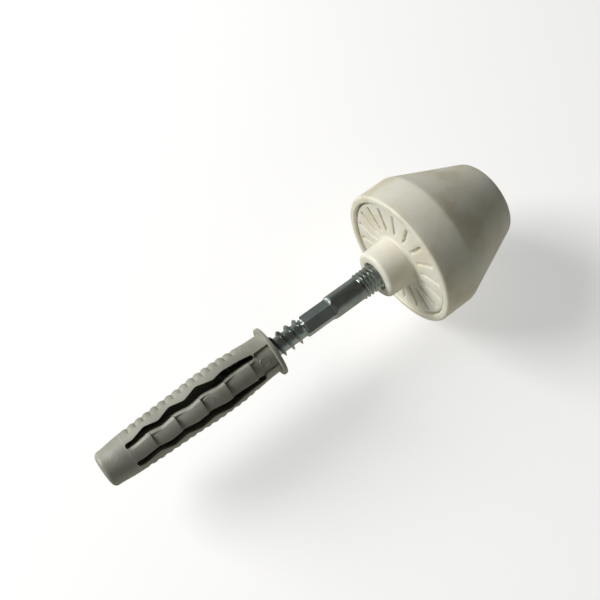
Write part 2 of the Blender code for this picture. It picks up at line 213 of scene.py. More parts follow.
class Nodes:
    """A short way to add and join the nodes of one material."""

    def __init__(self, name):
        self.material = bpy.data.materials.new(name)
        self.material.use_nodes = True
        self.tree = self.material.node_tree
        self.shader = self.tree.nodes["Principled BSDF"]
        self.place = self.add("ShaderNodeTexCoord").outputs["Object"]

    def add(self, kind, **settings):
        """A new node. Settings that name a socket fill it; the others are the node's own."""
        node = self.tree.nodes.new(kind)
        for key, value in settings.items():
            if key in node.inputs:
                node.inputs[key].default_value = value
            else:
                setattr(node, key, value)
        return node

    def join(self, output, target):
        self.tree.links.new(output, target)

    def noise(self, scale, detail=3.0, roughness=0.5, stretch=None):
        """Noise fixed to the piece, stretched along its axes if asked."""
        node = self.add("ShaderNodeTexNoise", Scale=scale, Detail=detail, Roughness=roughness)
        source = self.place
        if stretch:
            mapping = self.add("ShaderNodeMapping", Scale=stretch)
            self.join(source, mapping.inputs["Vector"])
            source = mapping.outputs["Vector"]
        self.join(source, node.inputs["Vector"])
        return node.outputs["Fac"]

    def ramp(self, source, stops):
        """A colour ramp of (position, colour) stops."""
        node = self.add("ShaderNodeValToRGB")
        elements = node.color_ramp.elements
        while len(elements) < len(stops):
            elements.new(0.5)
        for element, (position, colour) in zip(elements, stops):
            element.position = position
            element.color = (*colour, 1.0)
        self.join(source, node.inputs["Fac"])
        return node.outputs["Color"]

    def remap(self, source, low, high, to_low, to_high):
        """Carries the range low to high over to to_low to to_high."""
        node = self.add("ShaderNodeMapRange")
        limits = {"From Min": low, "From Max": high, "To Min": to_low, "To Max": to_high}
        for key, value in limits.items():
            node.inputs[key].default_value = value
        self.join(source, node.inputs["Value"])
        return node.outputs["Result"]

    def mix(self, factor, first, second):
        """A colour mix of node outputs; second may be a fixed colour instead."""
        node = self.add("ShaderNodeMix", data_type="RGBA")
        for socket, value in (("Factor", factor), ("A", first), ("B", second)):
            same_name = [i for i in node.inputs if i.name == socket]
            target = next(i for i in same_name if i.enabled or socket == "Factor")
            if isinstance(value, tuple):
                target.default_value = value
            else:
                self.join(value, target)
        return next(output for output in node.outputs if output.enabled)

    def bump(self, *layers):
        """Bump from (height, strength, distance in mm) layers, the broadest first."""
        normal = None
        for height, strength, distance in layers:
            node = self.add("ShaderNodeBump", Strength=strength, Distance=distance * MM)
            self.join(height, node.inputs["Height"])
            if normal:
                self.join(normal, node.inputs["Normal"])
            normal = node.outputs["Normal"]
        self.join(normal, self.shader.inputs["Normal"])

    def edge_wear(self):
        """0 on flat skin, rising to the full wear on convex edges."""
        pointiness = self.add("ShaderNodeNewGeometry").outputs["Pointiness"]
        return self.remap(pointiness, *WEAR_POINTINESS, 0.0, FULL_WEAR)


def moulded_plastic(name, light, mean, dark, roughness, grain_scale, wear, subsurface=0.0):
    """Satin moulded plastic: cloudy colour, fine grain, dull and bright patches, rubbed edges."""
    nodes = Nodes(name)
    cloud_noise = nodes.noise(CLOUD_SCALE, 4.0, 0.55)
    cloud = nodes.ramp(cloud_noise, list(zip(CLOUD_STOPS, (dark, mean, light))))
    speckle = nodes.remap(nodes.noise(SPECKLE_SCALE, 2.0), *NOISE_SPREAD, 0.0, SPECKLE_SHARE)
    dusted = nodes.mix(speckle, cloud, (*dark, 1.0))
    coloured = nodes.mix(nodes.edge_wear(), dusted, (*wear, 1.0))
    nodes.join(coloured, nodes.shader.inputs["Base Color"])
    dull, bright = roughness + PATCH_SPREAD, roughness - PATCH_SPREAD
    patches = nodes.remap(nodes.noise(PATCH_SCALE, 5.0), *NOISE_SPREAD, bright, dull)
    nodes.join(patches, nodes.shader.inputs["Roughness"])
    uneven_scale, uneven_strength, uneven_height = UNEVEN_BUMP
    nodes.bump(
        (nodes.noise(uneven_scale, 3.0), uneven_strength, uneven_height),
        (nodes.noise(grain_scale, 3.0, 0.6), *GRAIN_BUMP),
    )
    nodes.shader.inputs["IOR"].default_value = PLASTIC_IOR
    if subsurface:
        nodes.shader.inputs["Subsurface Weight"].default_value = subsurface
        nodes.shader.inputs["Subsurface Radius"].default_value = SUBSURFACE_RADIUS
        nodes.shader.inputs["Subsurface Scale"].default_value = SUBSURFACE_SCALE * MM
    return nodes.material


def zinc_plate(name, light, mean, dark, roughness):
    """Bright zinc over rolled steel: bluish patches, drawn lines, dull pits, worn crests."""
    nodes = Nodes(name)
    cloud_noise = nodes.noise(ZINC_CLOUD_SCALE, 4.0, 0.5)
    cloud = nodes.ramp(cloud_noise, list(zip(ZINC_CLOUD_STOPS, (dark, mean, light))))
    worn = nodes.mix(nodes.edge_wear(), cloud, ZINC_WORN)
    nodes.join(worn, nodes.shader.inputs["Base Color"])
    nodes.shader.inputs["Metallic"].default_value = 1.0
    less, more = ZINC_PATCH_SPREAD
    patch_noise = nodes.noise(ZINC_PATCH_SCALE, 5.0, 0.65)
    patches = nodes.remap(patch_noise, *NOISE_SPREAD, roughness - less, roughness + more)
    nodes.join(patches, nodes.shader.inputs["Roughness"])
    drawn = nodes.noise(ZINC_DRAWN_SCALE, 3.0, 0.6, stretch=ZINC_DRAWN_STRETCH)
    pits = nodes.noise(ZINC_PIT_SCALE, 4.0, 0.7)
    nodes.bump((nodes.noise(350.0, 3.0), 0.35, 0.05), (drawn, 0.5, 0.03), (pits, 0.3, 0.02))
    return nodes.material


grey_nylon = moulded_plastic(
    "grey_nylon", (0.405, 0.405, 0.35), (0.36, 0.36, 0.31), (0.3, 0.3, 0.255), 0.45, 1900.0,
    (0.5, 0.5, 0.44),
)
ivory_plastic = moulded_plastic(
    "ivory_plastic", (0.81, 0.795, 0.70), (0.765, 0.745, 0.635), (0.67, 0.63, 0.49), 0.48, 2300.0,
    (0.77, 0.75, 0.68), SUBSURFACE_SHARE,
)
white_plastic = moulded_plastic(
    "white_plastic", (0.84, 0.82, 0.735), (0.79, 0.77, 0.67), (0.74, 0.70, 0.58), 0.45, 2300.0,
    (0.88, 0.86, 0.79), SUBSURFACE_SHARE,
)
zinc_steel = zinc_plate(
    "zinc_steel", (0.58, 0.64, 0.63), (0.52, 0.57, 0.55), (0.42, 0.45, 0.42), 0.17
)
nut_steel = zinc_plate("nut_steel", (0.66, 0.7, 0.72), (0.55, 0.59, 0.6), (0.42, 0.45, 0.44), 0.32)

# ---------------------------------------------------------------- expansion plug

LEG_ANGLE = 30.0
COLLAR_THICKNESS = 1.1
NOSE_ROUND = 1.3
LEG_OUTLINE = (
    (-51.4, 5.05), (-47.5, 5.55), (-40.0, 6.05), (-28.0, 6.45), (-22.0, 6.85),
    (-14.0, 6.85), (-9.0, 6.4), (-5.0, 6.0), (-1.4, 5.9),
)
OUTLINE_EASING = (-1.2, -0.6, 0.0, 0.6, 1.2)
TOOTH_PITCH = 7.62
TOOTH_STEPS = (-38.7, -31.5, -23.7, -16.2, -8.2)
TOOTH_LOW_RADIUS = 5.35
TOOTH_HIGH_RADIUS = 6.35
TOOTH_TILT = 0.3
TOOTH_CURVE = 0.85
UPPER_CHAMFER = (0.5, 0.5)
LOWER_CHAMFER = (0.15, 0.1)
LIP_RADIUS = 5.75
LIP_WIDTHS = (0.52, 0.75)
EDGE_FADE = 1.6
EDGE_ROUND = 0.1
EDGE_ROUND_WIDTH = 0.18
PANEL_RADIUS = 5.3
PANEL_HALF_WIDTH = 3.3
PANEL_EDGE = 0.05
PANEL_BLEND = 0.3
RIB_PITCH = 2.343
LAST_RIB_X = -10.0
RIB_COUNT = 15
RIB_DEPTH = 0.58
RIB_CURVE = 0.5
RIB_BAND = (60.0, 65.0)
SLOT_START_X = -45.4
SLOT_END_X = -5.95
SLOT_ROUND = 0.7
# Sideways places of the slots' walls along x, first the upper slot's, then the lower slot's: the wall
# on the toothed leg, and the wall on the ribbed leg. The zigzag is added to both.
LEG_EDGES = (
    ((-45.0, -2.3), (-31.0, -2.2), (-22.0, -2.1), (-16.0, -2.1), (-12.0, -2.25), (-8.0, -2.3)),
    ((-45.0, 1.65), (-39.0, 2.0), (-31.0, 2.3), (-22.0, 2.6), (-15.0, 3.0), (-8.0, 3.1)),
)
SLOT_EDGES = (
    ((-45.0, -3.75), (-41.0, -3.85), (-31.0, -4.3), (-23.0, -4.65), (-16.0, -4.5), (-7.0, -3.8)),
    ((-45.0, 3.1), (-41.0, 3.35), (-31.0, 4.1), (-23.0, 4.6), (-15.0, 4.8), (-7.0, 4.3)),
)
SLOT_WAVE_INNER = 0.28
SLOT_WAVE_OUTER = 0.46
SLOT_ZIGZAG = (
    (-45.4, 0.5), (-43.2, 0.9), (-39.0, -1.0), (-35.1, 1.0), (-31.1, -1.0), (-27.0, 1.0),
    (-22.7, -1.0), (-18.1, 1.0), (-14.8, -0.35), (-9.5, -0.1), (-6.2, 0.6),
)
WAVE_EASING = (-0.5, -0.25, 0.0, 0.25, 0.5)
NOSE_WALLS = (-3.8, -2.5, 2.5, 3.8)
NOSE_BLEND = 3.0
BORE = ((-33.0, 2.2), (-31.0, 3.75))
SLOT_WALL_SKIN = 0.35
COLLAR_ROUNDS = (0.22, 0.25)
MOUTH_ROUND_IN = 0.35
MOUTH_DEPTH = 1.0
ROW_STEP = 0.17
SLOT_END_ROWS = (0.0, 0.06, 0.15, 0.28, 0.42)
SLOT_END_REACH = 0.5
TOOTH_CLEARANCE = 0.13
STEP_LENGTH = 0.07
WEB_INNER = -3.2
WEB_OUTER = -3.6
WEB_MARGIN = 0.1
WEB_STEP = 0.5
MARK_RADIUS = 1.35
MARK_SECTORS = 48


def tooth_height(x):
    """0 just after a tooth's step, rising to 1 at the next one. None past the last step."""
    for step in TOOTH_STEPS:
        if x <= step + 1e-6:
            return max(0.0, 1.0 - (step - x) / TOOTH_PITCH)
    return None


def outline_radius(x):
    """The plug's outline, with its corners eased."""
    eased = sum(interpolate(LEG_OUTLINE, x + shift) for shift in OUTLINE_EASING)
    return eased / len(OUTLINE_EASING)


def rib_drop(x, from_middle):
    """How far a ribbed leg's skin lies below its outline: scallops that meet in sharp notches."""
    along = (LAST_RIB_X - x) / RIB_PITCH
    if not -1.0 < along < RIB_COUNT:
        return 0.0
    band = smooth((from_middle - RIB_BAND[0]) / (RIB_BAND[1] - RIB_BAND[0]))
    scallop = 1.0 - abs(sin(pi * along)) ** RIB_CURVE
    ends = min(1.0, along + 1.0, RIB_COUNT - along)
    return RIB_DEPTH * scallop * band * ends


def slot_wave(x):
    """Sideways shift of the slots: a zigzag with eased corners."""
    eased = sum(interpolate(SLOT_ZIGZAG, x + shift) for shift in WAVE_EASING)
    return eased / len(WAVE_EASING)


def slot_opening(x):
    """1 along the slot, falling to 0 over its round ends."""
    along = min(x - SLOT_START_X, SLOT_END_X - x)
    if along <= 0.0:
        return 0.0
    return sqrt(1.0 - (1.0 - along / SLOT_ROUND) ** 2) if along < SLOT_ROUND else 1.0


def slot_walls(x):
    """Sideways places of the four slot walls, or of the recess's edges past the slots."""
    wave = slot_wave(x)
    walls = []
    for leg_edge, slot_edge in zip(LEG_EDGES, SLOT_EDGES):
        near = interpolate(leg_edge, x) + SLOT_WAVE_INNER * wave
        far = interpolate(slot_edge, x) + SLOT_WAVE_OUTER * wave
        centre, half = (near + far) / 2, abs(far - near) / 2 * slot_opening(x)
        walls += [centre - half, centre + half]
    wide, narrow = PANEL_HALF_WIDTH + PANEL_EDGE, PANEL_HALF_WIDTH - PANEL_EDGE
    if x > SLOT_END_X:
        share = smooth((x - SLOT_END_X) / PANEL_BLEND)
        return [a + (b - a) * share for a, b in zip(walls, (-wide, -narrow, narrow, wide))]
    if x < SLOT_START_X:
        share = smooth((SLOT_START_X - x) / NOSE_BLEND)
        return [a + (b - a) * share for a, b in zip(walls, NOSE_WALLS)]
    return walls


def edge_share(x):
    """0 at the slots' ends, rising to 1 where the legs' edges have their full shape."""
    return smooth(min(x - SLOT_START_X, SLOT_END_X - x) / EDGE_FADE)


def edge_round(distance, x):
    """The small round along the ribbed legs' edges."""
    return EDGE_ROUND * edge_share(x) * max(0.0, 1.0 - distance / EDGE_ROUND_WIDTH) ** 2


def chamfer_drop(distance, size):
    """How far a chamfer of the given (width, depth) lies below its leg."""
    width, depth = size
    return depth * max(0.0, 1.0 - distance / width)


def toothed_radius(x, side):
    """Skin of a toothed leg. side runs from -1 at its upper edge to 1 at its lower edge."""
    if x <= TOOTH_STEPS[0]:
        return outline_radius(x)
    height = tooth_height(x)
    if height is None:
        return PANEL_RADIUS
    low = TOOTH_LOW_RADIUS + TOOTH_TILT * side
    return low + (TOOTH_HIGH_RADIUS - low) * height ** TOOTH_CURVE


def leg_radius(x, share, width):
    """A toothed leg's teeth, with a lit chamfer and a raised lip along its upper edge."""
    radius = toothed_radius(x, 2.0 * share - 1.0)
    from_upper, from_lower = share * width, (1.0 - share) * width
    narrow, wide = LIP_WIDTHS
    lip = max(0.0, LIP_RADIUS - radius) * smooth((wide - from_upper) / (wide - narrow))
    drop = chamfer_drop(from_upper, UPPER_CHAMFER) + chamfer_drop(from_lower, LOWER_CHAMFER)
    return radius + (lip - drop) * edge_share(x)


def plug_rows():
    """The rings of the plug's skin as (x, radius), with radius None where the legs set it."""
    face = PLUG_FACE_X
    under = face - COLLAR_THICKNESS
    nose_radius = outline_radius(PLUG_TIP_X + NOSE_ROUND)
    rings = fillet((PLUG_TIP_X, nose_radius), (PLUG_TIP_X, 0.0), (0.0, nose_radius), NOSE_ROUND, 8)
    stations = spaced(rings[-1][0] + 0.15, under, ROW_STEP)
    for end, inward in ((SLOT_START_X, 1.0), (SLOT_END_X, -1.0)):
        near = [end + inward * step for step in SLOT_END_ROWS]
        stations = [x for x in stations if not 0.0 <= (x - end) * inward < SLOT_END_REACH] + near
    for step in TOOTH_STEPS:
        stations = [x for x in stations if abs(x - step) > TOOTH_CLEARANCE]
        stations += [step - 0.1, step, step + STEP_LENGTH, step + 0.15]
    rings += [(x, None) for x in sorted(stations)]
    mouth = BORE[1][1]
    rings += rounded(
        ((under, 0.0, 0), (under, COLLAR_RADIUS, COLLAR_ROUNDS[0]),
         (face, COLLAR_RADIUS, COLLAR_ROUNDS[1]), (face, mouth, MOUTH_ROUND_IN),
         (face - MOUTH_DEPTH, mouth, 0)), 4,
    )[1:-1]
    return rings


def plug_shares(count, both_edges):
    """Shares across a leg, with close ones along its last edge or along both."""
    shares = [index / count for index in range(count + 1)]
    if both_edges:
        shares[1:1] = [0.2 / count, 0.45 / count, 0.7 / count]
    shares[-1:-1] = [1.0 - 0.7 / count, 1.0 - 0.45 / count, 1.0 - 0.2 / count]
    return shares


SIDE_SHARES = plug_shares(26, False)
LEG_SHARES = plug_shares(22, True)
SLOT_SHARES = [0.2, 0.4, 0.6, 0.8]


def plug_section(x, fixed):
    """Outer and inner points (u, v) of the half ring round the near toothed leg: u outwards along
    the leg's middle, v sideways. fixed is the ring's radius, or None where the legs set it."""
    walls = slot_walls(x)
    slotted = SLOT_START_X < x < SLOT_END_X
    outline = outline_radius(x)
    bore = interpolate(BORE, x)
    recessed = x > SLOT_END_X
    outer, inner = [], []

    def add(radius, across, hollow):
        outer.append((sqrt(max(0.0, radius * radius - across * across)), across))
        inner.append(hollow)

    def add_side(sign, wall, shares):
        edge = asin(min(1.0, abs(wall) / outline))
        for share in shares:
            angle = pi / 2 + (edge - pi / 2) * share
            radius = fixed or outline - rib_drop(x, degrees(angle))
            radius -= 0.0 if fixed else edge_round((angle - edge) * outline, x)
            across = radius * sin(angle)
            hollow = (bore * cos(angle), sign * bore * sin(angle))
            if slotted:
                reach = sqrt(max(0.1, outline ** 2 - wall ** 2)) - SLOT_WALL_SKIN
                hollow = (reach * share, wall)
                across = max(across, abs(wall))
            add(radius, sign * across, hollow)

    def add_slot(first, last):
        for share in SLOT_SHARES:
            across = first + (last - first) * share
            side = outline if first < 0 else toothed_radius(x, 1.0)
            leg = toothed_radius(x, -1.0) if first < 0 else outline
            radius = fixed or (side + (leg - side) * share if recessed else outline)
            angle = asin(min(1.0, abs(across) / radius))
            sign = 1.0 if across > 0 else -1.0
            add(radius, across, (bore * cos(angle), sign * bore * sin(angle)))

    add_side(-1.0, walls[0], SIDE_SHARES)
    add_slot(walls[0], walls[1])
    for share in LEG_SHARES:
        across = walls[1] + (walls[2] - walls[1]) * share
        radius = fixed or leg_radius(x, share, walls[2] - walls[1])
        angle = asin(min(1.0, abs(across) / radius))
        hollow = (bore * cos(angle), bore * sin(angle) * (1.0 if across > 0 else -1.0))
        if slotted:
            hollow = (sqrt(max(0.09, bore ** 2 - across ** 2)), across)
        add(radius, across, hollow)
    add_slot(walls[2], walls[3])
    add_side(1.0, walls[3], SIDE_SHARES[::-1])
    return outer, inner


def leg_point(x, u, v):
    """The point at u along the toothed leg's middle and v sideways of it."""
    turn = radians(LEG_ANGLE)
    return Vector((x, -u * sin(turn) - v * cos(turn), u * cos(turn) - v * sin(turn))) * MM


def build_plug():
    """The plug's shell: an outer and an inner sheet, joined by walls along the slots."""
    bm = bmesh.new()
    rows = plug_rows()
    slotted = [radius is None and SLOT_START_X < x < SLOT_END_X for x, radius in rows]
    outer, inner = [], []
    for x, fixed in rows:
        near, hollow = plug_section(x, fixed)
        near += [(-u, v) for u, v in near[-2:0:-1]]
        hollow += [(-u, v) for u, v in hollow[-2:0:-1]]
        outer.append([bm.verts.new(leg_point(x, u, v)) for u, v in near])
        inner.append([bm.verts.new(leg_point(x, u, v)) for u, v in hollow])
    side, gap, leg = len(SIDE_SHARES), len(SLOT_SHARES), len(LEG_SHARES)
    walls = [side - 1, side + gap, side + gap + leg - 1, side + 2 * gap + leg]
    columns = len(outer[0])
    walls += [columns - wall for wall in walls[::-1]]
    holes = list(zip(walls[::2], walls[1::2]))

    def keep(row, column):
        open_row = slotted[row] or slotted[row + 1]
        return not (open_row and any(start <= column < end for start, end in holes))

    sheet_faces(bm, outer, keep=keep)
    sheet_faces(bm, inner, keep=keep)
    for row in range(len(rows) - 1):
        if slotted[row] or slotted[row + 1]:
            for wall in walls:
                skin = (outer[row][wall], outer[row + 1][wall])
                bm.faces.new(skin + (inner[row + 1][wall], inner[row][wall]))
    for row in (0, len(rows) - 1):
        sheet_faces(bm, [outer[row], inner[row]])
    tidy(bm)
    finish_piece("expansion_plug_shell", bm, grey_nylon, "plug", "expansion_plug")


def build_slot_webs():
    """Thin webs that bridge the slots on the plug's far half, clear of the bolt's thread."""
    bm = bmesh.new()
    stations = spaced(SLOT_START_X + WEB_MARGIN, SLOT_END_X - WEB_MARGIN, WEB_STEP)
    for first in (0, 2):
        bars = []
        for x in stations:
            start, end = slot_walls(x)[first:first + 2]
            start, end = start - WEB_MARGIN, end + WEB_MARGIN
            corners = ((WEB_OUTER, start), (WEB_OUTER, end), (WEB_INNER, end), (WEB_INNER, start))
            bars.append([bm.verts.new(leg_point(x, u, v)) for u, v in corners])
        sheet_faces(bm, bars)
        bm.faces.new(bars[0])
        bm.faces.new(bars[-1])
    tidy(bm)
    finish_piece("slot_webs", bm, grey_nylon, "plug", "expansion_plug")


def ejector_mark(name, x, angle, surface_radius, relief):
    """A round ejector mark: a low ring that follows the skin, with a shallow dish inside."""
    bm = bmesh.new()
    profile = (
        (0.0, 0.015), (0.7, 0.015), (0.84, 0.02), (0.9, relief), (0.96, relief), (1.04, 0.0),
        (1.1, -0.12),
    )

    def point_of(row, column):
        share, height = profile[row]
        turn = 2 * pi * column / MARK_SECTORS
        along = x + MARK_RADIUS * share * cos(turn)
        around = MARK_RADIUS * share * sin(turn) / surface_radius(along)
        return place(along, surface_radius(along) + height, angle + degrees(around))

    sheet_faces(bm, vertex_grid(bm, len(profile), MARK_SECTORS, point_of))
    tidy(bm)
    finish_piece(name, bm, grey_nylon, "plug", "expansion_plug")


def build_ejector_marks():
    ejector_mark("ejector_mark_panel", -4.3, 32.0, lambda x: PANEL_RADIUS, 0.11)
    ejector_mark("ejector_mark_tooth", -22.1, 30.0, lambda x: toothed_radius(x, 0.0), 0.1)
    ejector_mark("ejector_mark_nose", -48.8, 3.0, outline_radius, 0.018)


# ---------------------------------------------------------------- hanger bolt

HEX_START_X = 10.6
HEX_APOTHEM = 2.8
HEX_TURN = 2.2
FLAT_END_X = 19.1
FLAT_GONE_X = 21.4
HEX_SHOULDER = 0.45
HEX_SHOULDER_SLOPE = 0.6
SHANK_RADIUS = 3.53
SHANK_END_X = 30.4
MACHINE_START_X = 30.1
MACHINE_PITCH = 1.25
MACHINE_ROOT_RADIUS = 3.2
WOOD_END_X = 10.9
WOOD_PITCH = 2.8
WOOD_ROOT_RADIUS = 2.5
WOOD_CREST_RADIUS = 3.55
WOOD_TIP_LENGTH = 4.5
WOOD_TIP_RADIUS = 0.5
WOOD_FADE_RATE = 1.6
WOOD_RIDGE = (0.2, 0.04, 0.2)
MACHINE_RIDGE = (0.4, 0.1, 0.4)
MACHINE_RUN_IN = (1.5, 0.45)
RISE_POINTS = ((0.1, 0.02), (0.5, 0.5), (0.85, 0.9), (1.0, 1.0))
FALL_POINTS = ((0.15, 0.9), (0.5, 0.5), (0.9, 0.02))
THREAD_SECTORS = 64
SHANK_SECTORS = 120
SHANK_STEP = 0.15
SHANK_END_ROUND = 0.2


def threaded_bar(x_start, x_end, pitch, profile, envelope):
    """A bar whose rings follow a helix. profile is the ridge over one pitch as (share of pitch,
    share of depth) points, and envelope gives the root and crest radius at x."""
    per_turn = len(profile)
    rows = (int((x_end - x_start) / pitch) + 3) * per_turn + 1
    bm = bmesh.new()

    def point_of(row, sector):
        share, height = profile[row % per_turn]
        turn = sector / THREAD_SECTORS
        along = x_start + (row // per_turn - 1.5 + share + turn) * pitch
        x = min(max(along, x_start), x_end)
        root, crest = envelope(x)
        return place(x, root + (crest - root) * height, 360.0 * turn)

    sheet_faces(bm, vertex_grid(bm, rows, THREAD_SECTORS + 1, point_of), closed=False)
    tidy(bm, fill=True)
    return bm


def wood_envelope(x):
    """The screw's point, its full thread, and the thread's run-out into the hexagon."""
    grown = min(1.0, (x - BOLT_TIP_X) / WOOD_TIP_LENGTH)
    root = WOOD_TIP_RADIUS + (WOOD_ROOT_RADIUS - WOOD_TIP_RADIUS) * grown
    fade = smooth((WOOD_END_X - x) / WOOD_PITCH * WOOD_FADE_RATE)
    return root, root + (WOOD_CREST_RADIUS - WOOD_ROOT_RADIUS) * min(grown, fade)


def machine_envelope(x):
    """A short run-in behind the thread and a chamfer at the bolt's end."""
    depth = CREST_RADIUS - MACHINE_ROOT_RADIUS
    rate, start = MACHINE_RUN_IN
    run_in = (x - MACHINE_START_X) / MACHINE_PITCH * rate + start
    fade = min(1.0, run_in, (BOLT_END_X - x) / MACHINE_PITCH)
    return MACHINE_ROOT_RADIUS, MACHINE_ROOT_RADIUS + depth * max(0.0, fade)


def ridge(rise, crest, fall):
    """One ridge of a thread: root, flank, rounded crest, flank, as shares of its pitch."""
    points = [(0.0, 0.0)]
    points += [(rise * share, height) for share, height in RISE_POINTS]
    start = rise + crest
    points += [(start, 1.0)]
    points += [(start + fall * share, height) for share, height in FALL_POINTS]
    points += [(start + fall, 0.0)]
    return points


def shank_radius(x, angle):
    """The wrench hexagon, whose flats run out into the round shank in arcs."""
    lift = smooth((x - FLAT_END_X) / (FLAT_GONE_X - FLAT_END_X)) * (SHANK_RADIUS - HEX_APOTHEM + 0.02)
    from_flat = (angle - HEX_TURN) % 60.0 - 30.0
    flat = (HEX_APOTHEM + lift) / cos(radians(from_flat))
    shoulder = min(0.0, x - HEX_START_X - HEX_SHOULDER) * HEX_SHOULDER_SLOPE
    return min(flat, SHANK_RADIUS) + shoulder


def build_bolt():
    """The bolt as three pieces: wood thread, machine thread, and shank with hexagon."""
    wood = threaded_bar(BOLT_TIP_X, WOOD_END_X, WOOD_PITCH, ridge(*WOOD_RIDGE), wood_envelope)
    finish_piece("bolt_wood_thread", wood, zinc_steel, "bolt", "hanger_bolt", 40)
    machine = threaded_bar(
        MACHINE_START_X, BOLT_END_X, MACHINE_PITCH, ridge(*MACHINE_RIDGE), machine_envelope
    )
    finish_piece("bolt_machine_thread", machine, zinc_steel, "bolt", "hanger_bolt", 40)
    bm = bmesh.new()
    stations = [HEX_START_X, HEX_START_X + HEX_SHOULDER]
    first = HEX_START_X + HEX_SHOULDER + SHANK_STEP
    stations += spaced(first, SHANK_END_X - SHANK_END_ROUND, SHANK_STEP) + [SHANK_END_X]

    def point_of(row, column):
        x = stations[row]
        angle = HEX_TURN + 360.0 * column / SHANK_SECTORS
        radius = shank_radius(x, angle) - (SHANK_END_ROUND if row == len(stations) - 1 else 0.0)
        return place(x, radius, angle)

    sheet_faces(bm, vertex_grid(bm, len(stations), SHANK_SECTORS, point_of))
    tidy(bm, fill=True)
    finish_piece("bolt_shank", bm, zinc_steel, "bolt", "hanger_bolt", 24)


# ---------------------------------------------------------------- bearing disc

BOSS_RADIUS = 7.35
BOSS_BASE_RADIUS = 7.55
DISC_FACE_X = 45.0
DISC_THICKNESS = 1.8
DISC_BORE_RADIUS = 4.45
LEDGE_RADIUS = 18.98
LEDGE_DEPTH = 0.75
SKIRT_RADII = (9.3, 10.8)
GROOVE_COUNT = 18
GROOVE_RADII = (9.3, 17.6)
GROOVE_HALF_WIDTH = 0.52
GROOVE_DEPTH = 0.85
GROOVE_WALL = 0.3
GROOVE_RUN_OUT = 1.7
GROOVE_END = 0.2
GROOVE_END_ROWS = (0.0, 0.02, 0.08, 0.18, 0.32, GROOVE_HALF_WIDTH)
GROOVE_END_REACH = 0.6
GROOVE_ROW_STEP = 0.3
BOSS_SIDE_ROWS = (8.8, 9.1)


def groove_half(radius):
    """Half the groove's width at a radius, with round ends."""
    along = min(radius - GROOVE_RADII[0], GROOVE_RADII[1] - radius)
    if along <= 0.0:
        return 0.0
    half = GROOVE_HALF_WIDTH
    return sqrt(half * half - (half - along) ** 2) if along < half else half


def groove_depth(radius):
    """Depth along a groove: it runs out gently at the boss and ends in a short ramp at the rim."""
    inner, outer = GROOVE_RADII
    rise = smooth((radius - inner) / GROOVE_RUN_OUT)
    return GROOVE_DEPTH * min(rise, smooth((outer - radius) / GROOVE_END))


def groove_columns(radius):
    """(angle from the groove's middle, share of its depth) of the points across one groove."""
    half = max(groove_half(radius), 0.02)
    deep = 1.0 if groove_half(radius) > 0.0 else 0.0
    edge = degrees(asin(min(1.0, (half + GROOVE_WALL) / radius)))
    near = degrees(asin(min(1.0, (half + 0.03) / radius)))
    foot = degrees(asin(half / radius))
    pitch = 180.0 / GROOVE_COUNT
    right = [
        (0.0, deep), (foot * 0.5, deep), (foot * 0.85, 0.94 * deep), (foot, 0.8 * deep),
        (near, 0.1 * deep), (edge, 0.0), (edge + (pitch - edge) * 0.33, 0.0),
        (edge + (pitch - edge) * 0.67, 0.0),
    ]
    return [(-angle, share) for angle, share in reversed(right[1:])] + right + [(pitch, 0.0)]


def disc_outline():
    """The disc's section, closed, from the boss's bore outwards and round to the bore again."""
    back = DISC_FACE_X + DISC_THICKNESS
    ledge_x = DISC_FACE_X + LEDGE_DEPTH
    inner, outer = SKIRT_RADII
    corners = (
        (BOSS_FACE_X, DISC_BORE_RADIUS, 0.3), (BOSS_FACE_X, BOSS_RADIUS, 1.15),
        (DISC_FACE_X, BOSS_BASE_RADIUS, 1.0), (DISC_FACE_X, DISC_RADIUS, 0.6),
        (ledge_x, DISC_RADIUS, 0.0), (ledge_x, LEDGE_RADIUS, 0.0),
        (back, LEDGE_RADIUS, 0.3), (back, outer, 0.2), (SKIRT_END_X, outer, 0.3),
        (SKIRT_END_X, inner, 0.3), (back, inner, 0.0), (back, DISC_BORE_RADIUS, 0.0),
    )
    points = rounded(corners, 7)
    start, end = GROOVE_RADII
    near = [start + step for step in GROOVE_END_ROWS] + [end - step for step in GROOVE_END_ROWS]
    between = spaced(start + GROOVE_END_REACH, end - GROOVE_END_REACH, GROOVE_ROW_STEP)
    across = sorted(near + between + list(BOSS_SIDE_ROWS))
    past_grooves = next(index for index, (_, radius) in enumerate(points) if radius > end)
    return points[:past_grooves] + [(DISC_FACE_X, r) for r in across] + points[past_grooves:]


def build_disc():
    """The disc with its boss, its skirt and the radial grooves on its face."""
    outline = disc_outline()
    per_groove = len(groove_columns(12.0))
    bm = bmesh.new()

    def point_of(row, column):
        x, radius = outline[row]
        angle, share = groove_columns(radius)[column % per_groove]
        on_face = abs(x - DISC_FACE_X) < 1e-6
        sunk = groove_depth(radius) * share if on_face else 0.0
        turn = 360.0 * (column // per_groove) / GROOVE_COUNT
        return place(x + sunk, radius, angle + turn)

    grid = vertex_grid(bm, len(outline), per_groove * GROOVE_COUNT, point_of)
    sheet_faces(bm, grid + grid[:1])
    tidy(bm)
    finish_piece("insert_disc_body", bm, white_plastic, "disc", "insert_disc", 30)


# ---------------------------------------------------------------- cap and nut

MOUTH_RADIUS = 19.1
MOUTH_ROUND = 0.45
KINK_X = 54.88
END_RADIUS = 12.05
END_ROUND = 1.9
RIM_ROUND = 0.85
KINK_ROUND = 3.5
WALL = 2.4
CORE_RADIUS = 9.0
CORE_BORE_RADIUS = 4.6
DIMPLE_RADII = (3.4, 2.9)
DIMPLE_DEPTH = 0.5
CAP_SECTORS = 192
NUT_BORE_RADIUS = 4.15
NUT_SIDES = 6
NUT_CHAMFER = 0.5
NUT_SECTORS = 72


